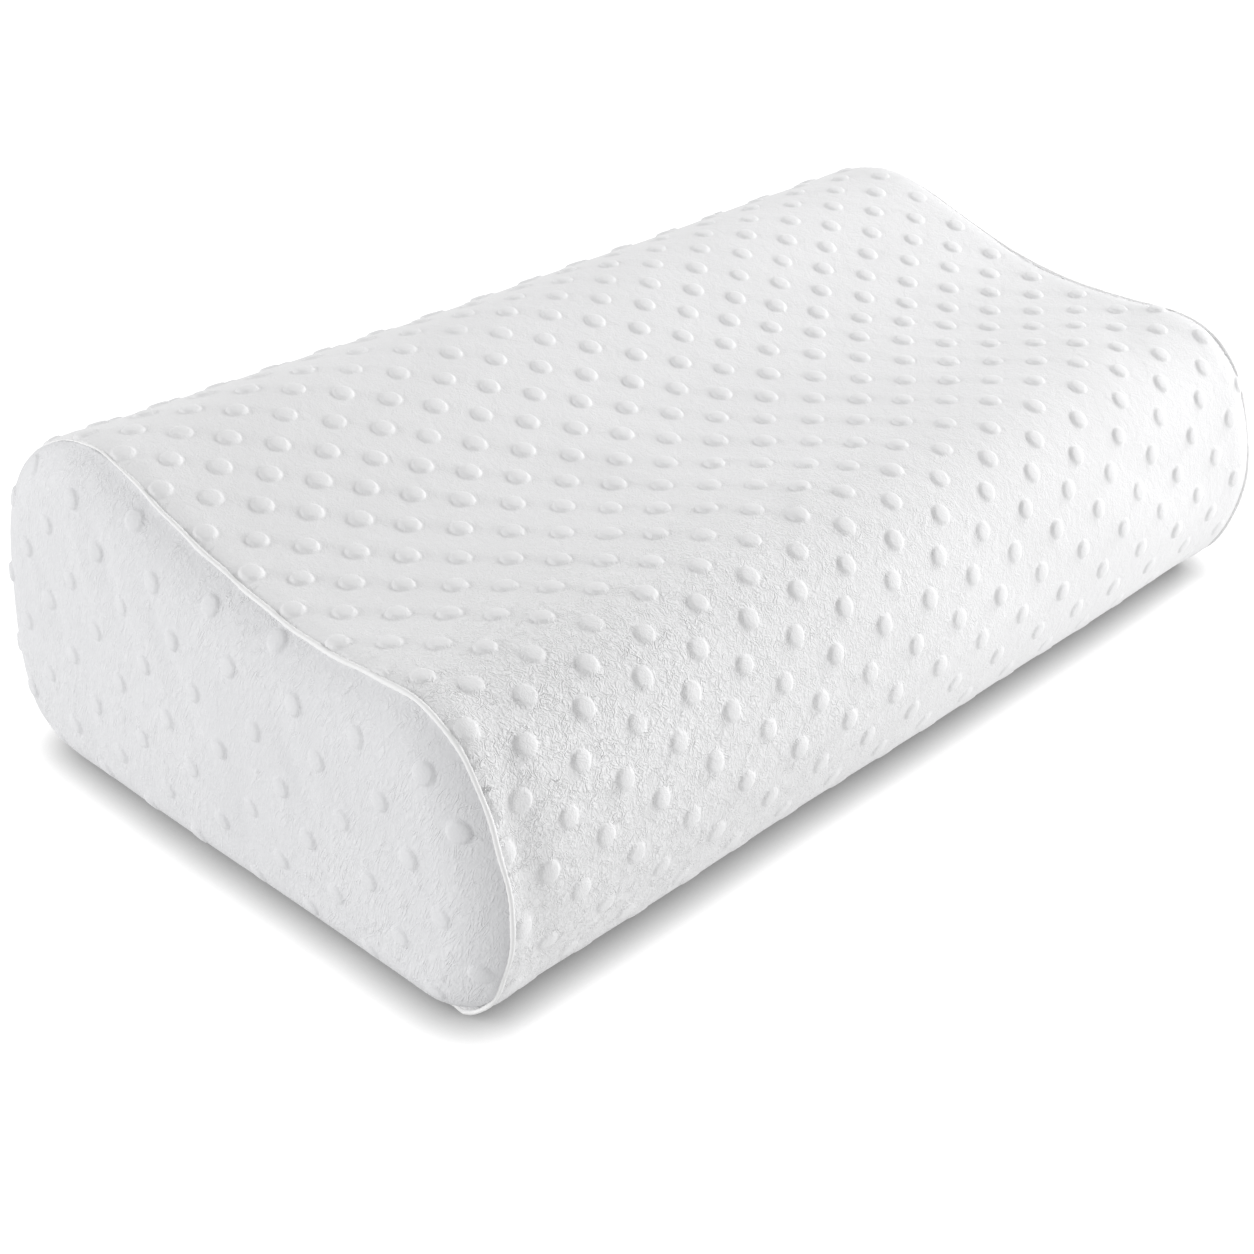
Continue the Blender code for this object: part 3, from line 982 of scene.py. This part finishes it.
def velour(name, pale, dark, crinkle, near_extra, depth, brushing=LEVEL, stretch=EVEN):
    """White short-pile velour: wandering crinkle between the dots, fuzz, and slow patches of nap. The
    crinkle's furrows are painted darker and its ridges paler, as painted shade and light on top of its bump.
    """
    material = bpy.data.materials.new(name)
    material.use_nodes = True
    tree = material.node_tree
    shader = tree.nodes["Principled BSDF"]
    shader.inputs["Metallic"].default_value = 0.0
    shader.inputs["Roughness"].default_value = 0.93
    shader.inputs["Specular IOR Level"].default_value = 0.2
    shader.inputs["Sheen Weight"].default_value = 0.20
    shader.inputs["Sheen Roughness"].default_value = 0.45
    shader.inputs["Sheen Tint"].default_value = (1.0, 1.0, 1.0, 1.0)
    place = turned_place(tree, LEVEL, EVEN)
    brushed = turned_place(tree, brushing, stretch)
    first, second = (pile_waves(tree, brushed, *pair) for pair in zip(CRINKLE_SCALES, CRINKLE_BANDS))
    first, second = math_node(tree, "MULTIPLY", first, 0.6), math_node(tree, "MULTIPLY", second, 0.4)
    lines = math_node(tree, "ADD", first, second)
    patches = noise(tree, place, 16.0, 3.0, 0.6, 0.4)
    clumps = noise(tree, place, 190.0, 2.5, 0.55, 0.6)
    fuzz = noise(tree, place, 1200.0, 2.0, 0.6, 0.0)
    near = rise_along(tree, place, "X", CRINKLE_FROM_X, CRINKLE_FULL_X)
    front = rise_along(tree, place, "Y", CRINKLE_FROM_Y, CRINKLE_FULL_Y)
    most = math_node(tree, "MULTIPLY", math_node(tree, "MULTIPLY", near, front), near_extra)
    amount = math_node(tree, "ADD", math_node(tree, "MULTIPLY", patches, 2.0 * crinkle), most)
    ground = math_node(tree, "SUBTRACT", 1.0, math_node(tree, "MULTIPLY", raised_share(tree), 0.8))
    broken = math_node(tree, "MULTIPLY", math_node(tree, "SUBTRACT", clumps, 0.22), 1.9, clamp=True)
    amount = math_node(tree, "MULTIPLY", math_node(tree, "MULTIPLY", amount, ground), broken)
    height = math_node(tree, "MULTIPLY", lines, amount)
    height = math_node(tree, "ADD", height, math_node(tree, "MULTIPLY", fuzz, 0.55))
    height = math_node(tree, "ADD", height, math_node(tree, "MULTIPLY", clumps, 1.1))
    tree.links.new(bump(tree, height, 1.0, depth), shader.inputs["Normal"])
    # Painted shade and light of the crinkle: its furrows are painted darker and its ridges paler in the base
    # colour
    painted_crinkle_shading = math_node(tree, "MULTIPLY", math_node(tree, "SUBTRACT", lines, 0.5), amount)
    shade = math_node(tree, "MULTIPLY", painted_crinkle_shading, 0.9)
    shade = math_node(tree, "ADD", shade, math_node(tree, "MULTIPLY", patches, 0.8))
    shade = math_node(tree, "ADD", shade, math_node(tree, "MULTIPLY", clumps, 0.3), clamp=True)
    mix = tree.nodes.new("ShaderNodeMix")
    mix.data_type = "RGBA"
    tree.links.new(shade, mix.inputs["Factor"])
    for socket, colour in zip([k for k in mix.inputs if k.type == "RGBA"], (dark, pale)):
        socket.default_value = colour
    colour_out = next(k for k in mix.outputs if k.type == "RGBA")
    tree.links.new(colour_out, shader.inputs["Base Color"])
    return material


def floor_material():
    material = bpy.data.materials.new("studio_floor")
    material.use_nodes = True
    shader = material.node_tree.nodes["Principled BSDF"]
    shader.inputs["Base Color"].default_value = (0.25, 0.25, 0.25, 1.0)
    shader.inputs["Roughness"].default_value = 1.0
    shader.inputs["Specular IOR Level"].default_value = 0.0
    shader.inputs["Emission Color"].default_value = (1.0, 1.0, 1.0, 1.0)
    tree = material.node_tree
    # The floor's even glow is dimmed by ambient occlusion round the pillow: a painted contact shadow
    painted_contact_shadow = tree.nodes.new("ShaderNodeAmbientOcclusion")
    painted_contact_shadow.samples = 16
    painted_contact_shadow.inputs["Distance"].default_value = PAINTED_SHADOW_REACH
    path = tree.nodes.new("ShaderNodeLightPath")
    seen = math_node(tree, "MULTIPLY", path.outputs["Is Camera Ray"], FLOOR_GLOW - FLOOR_BOUNCE)
    strength = math_node(tree, "ADD", seen, FLOOR_BOUNCE)
    glow = math_node(tree, "MULTIPLY", painted_contact_shadow.outputs["AO"], strength)
    tree.links.new(glow, shader.inputs["Emission Strength"])
    return material


# The studio

FLOOR_SIZE = 40.0
FLOOR_DROP = 0.0001
SKY_STRENGTH = 0.54
FLOOR_GLOW = 1.02
FLOOR_BOUNCE = 0.60
# How far the painted contact shadow in the floor's glow reaches
PAINTED_SHADOW_REACH = 0.0160
AIM_HEIGHT = 0.06

# Each light: its name, the way to it, its distance, its watts, its size
KEY_LIGHT = ("key_light", (0.87, -0.12, 0.44), 2.2, 23.5, 0.75)
OTHER_LIGHTS = (
    ("fill_light", (-0.40, 0.88, 0.15), 3.5, 10.0, 1.5),
    ("left_light", (-0.85, 0.40, 0.34), 3.0, 36.0, 1.4),
    ("front_light", (0.68, -0.72, 0.10), 1.5, 11.6, 0.8),
)


def make_floor():
    bm = bmesh.new()
    bmesh.ops.create_grid(bm, x_segments=2, y_segments=2, size=FLOOR_SIZE / 2.0)
    mesh = bpy.data.meshes.new("studio_floor")
    bm.to_mesh(mesh)
    bm.free()
    mesh.materials.append(floor_material())
    item = bpy.data.objects.new("studio_floor", mesh)
    item.location.z = -FLOOR_DROP
    bpy.context.scene.collection.objects.link(item)


def make_light(name, way, distance, watts, size):
    towards = Vector(way)
    light = bpy.data.lights.new(name, "AREA")
    light.shape = "DISK"
    light.size = size
    light.energy = watts
    item = bpy.data.objects.new(name, light)
    item.location = towards.normalized() * distance + Vector((0.0, 0.0, AIM_HEIGHT))
    item.rotation_mode = "QUATERNION"
    item.rotation_quaternion = towards.to_track_quat("Z", "Y")
    bpy.context.scene.collection.objects.link(item)
    return item


def spare(light, piece):
    """Keeps a light off this piece, so that the end that faces it doesn't wash out in the other views."""
    spared = bpy.data.collections.new("spared_by_" + light.name)
    spared.objects.link(piece)
    for row in spared.collection_objects:
        row.light_linking.link_state = "EXCLUDE"
    light.light_linking.receiver_collection = spared


def make_sky():
    world = bpy.data.worlds.new("studio_sky")
    world.use_nodes = True
    tree = world.node_tree
    output = next(n for n in tree.nodes if n.type == "OUTPUT_WORLD")
    lighting = next(n for n in tree.nodes if n.type == "BACKGROUND")
    lighting.inputs["Color"].default_value = (1.0, 1.0, 1.0, 1.0)
    lighting.inputs["Strength"].default_value = SKY_STRENGTH
    seen = tree.nodes.new("ShaderNodeBackground")
    seen.inputs["Color"].default_value = (1.0, 1.0, 1.0, 1.0)
    path = tree.nodes.new("ShaderNodeLightPath")
    mix = tree.nodes.new("ShaderNodeMixShader")
    tree.links.new(path.outputs["Is Camera Ray"], mix.inputs["Fac"])
    tree.links.new(lighting.outputs["Background"], mix.inputs[1])
    tree.links.new(seen.outputs["Background"], mix.inputs[2])
    tree.links.new(mix.outputs["Shader"], output.inputs["Surface"])
    bpy.context.scene.world = world


def make_camera():
    data = bpy.data.cameras.new("photo_camera")
    data.lens = LENS_MM
    data.sensor_width = SENSOR_MM
    data.clip_start = 0.01
    data.clip_end = 100.0
    item = bpy.data.objects.new("photo_camera", data)
    a, e = CAMERA_AZIMUTH, CAMERA_ELEVATION
    right = Vector((math.cos(a), math.sin(a), 0.0))
    back = Vector((math.sin(a) * math.cos(e), -math.cos(a) * math.cos(e), math.sin(e)))
    turn = Matrix((right, back.cross(right), back)).transposed()
    item.matrix_world = Matrix.Translation(CAMERA_PLACE) @ turn.to_4x4()
    bpy.context.scene.collection.objects.link(item)
    bpy.context.scene.camera = item


def dress(piece, nodes):
    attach(piece, "root")
    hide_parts(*nodes)


def main():
    bpy.context.scene.view_settings.view_transform = "Standard"
    make_camera()
    make_sky()
    key_light = make_light(*KEY_LIGHT)
    for light in OTHER_LIGHTS:
        make_light(*light)
    make_floor()
    wrap = velour("velour_wrap", **WRAP_LOOK)
    # The end panels' velour is painted darker: painted shade
    end = velour("velour_end", **SHADED_END_LOOK)
    # The seam's velour is painted paler: painted light on the ridge
    seam = velour("velour_seam", **LIT_SEAM_LOOK)
    dress(make_strip(wrap), ["pillow_body"])
    net = panel_net()
    for word, side in (("near", -1.0), ("far", 1.0)):
        panel = make_panel(f"velour_panel_{word}", side, net, end)
        ridge = make_ridge(f"rolled_seam_{word}", side, seam)
        dress(panel, [f"end_panel_{word}"])
        dress(ridge, [f"seam_ridge_{word}"])
    # The last panel is the far one
    spare(key_light, panel)


main()
